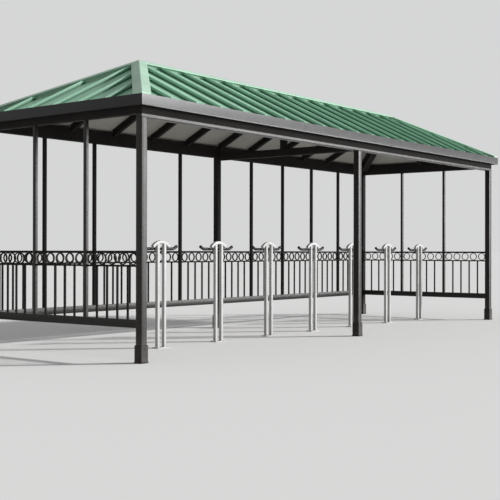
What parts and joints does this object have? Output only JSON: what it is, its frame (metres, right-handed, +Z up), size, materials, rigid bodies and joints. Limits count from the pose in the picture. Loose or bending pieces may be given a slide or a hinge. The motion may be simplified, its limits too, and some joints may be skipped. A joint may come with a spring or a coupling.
{
  "type": "bike shelter",
  "caption": "Open-fronted metal bike shelter with a hipped standing-seam roof, ring-topped fence panels on three sides and a row of bike racks.",
  "frame": {"origin": "on the ground, at the middle of the plan", "axes": "+X along the shelter to the right, +Y from the open front to the back, +Z up"},
  "size_m": [8.077, 2.532, 3.206],
  "materials": {
    "bronze_frame": "dark bronze powder coat, satin",
    "roof_deck": "off-white faced deck panel, matt",
    "green_roofing": "green coil-coated sheet, satin",
    "fascia_metal": "dark bronze coil-coated sheet, satin",
    "rack_steel": "bright steel, brushed",
    "rack_rubber": "black rubber sleeve"
  },
  "bodies": {
    "root": {"post_front_left": "bronze_frame", "post_front_middle": "bronze_frame", "post_front_right": "bronze_frame", "post_back_left": "bronze_frame", "post_back_middle": "bronze_frame", "post_back_right": "bronze_frame", "post_sleeves": "bronze_frame", "front_rail": "bronze_frame", "header_front": "bronze_frame", "header_back": "bronze_frame", "headers_end": "bronze_frame", "tie_beam": "bronze_frame", "king_post": "bronze_frame", "ridge_beam": "bronze_frame", "rafters_front": "bronze_frame", "rafters_back": "bronze_frame", "rafters_end": "bronze_frame", "hip_rafters": "bronze_frame", "sill_rails": "bronze_frame", "mullions_end": "bronze_frame", "mullions_back": "bronze_frame", "fence_left": "bronze_frame", "fence_right": "bronze_frame", "fence_back_left": "bronze_frame", "fence_back_right": "bronze_frame", "deck_front": "roof_deck", "deck_back": "roof_deck", "deck_left": "roof_deck", "deck_right": "roof_deck", "roof_front": "green_roofing", "roof_back": "green_roofing", "roof_left": "green_roofing", "roof_right": "green_roofing", "ridge_cap": "green_roofing", "hip_caps": "green_roofing", "fascia_front": "fascia_metal", "fascia_back": "fascia_metal", "fascia_left": "fascia_metal", "fascia_right": "fascia_metal", "rack_1": "rack_steel", "rack_2": "rack_steel", "rack_3": "rack_steel", "rack_4": "rack_steel", "rack_5": "rack_steel", "rack_6": "rack_steel", "rack_7": "rack_steel", "rack_arms": "rack_rubber"}
  },
  "joints": []
}
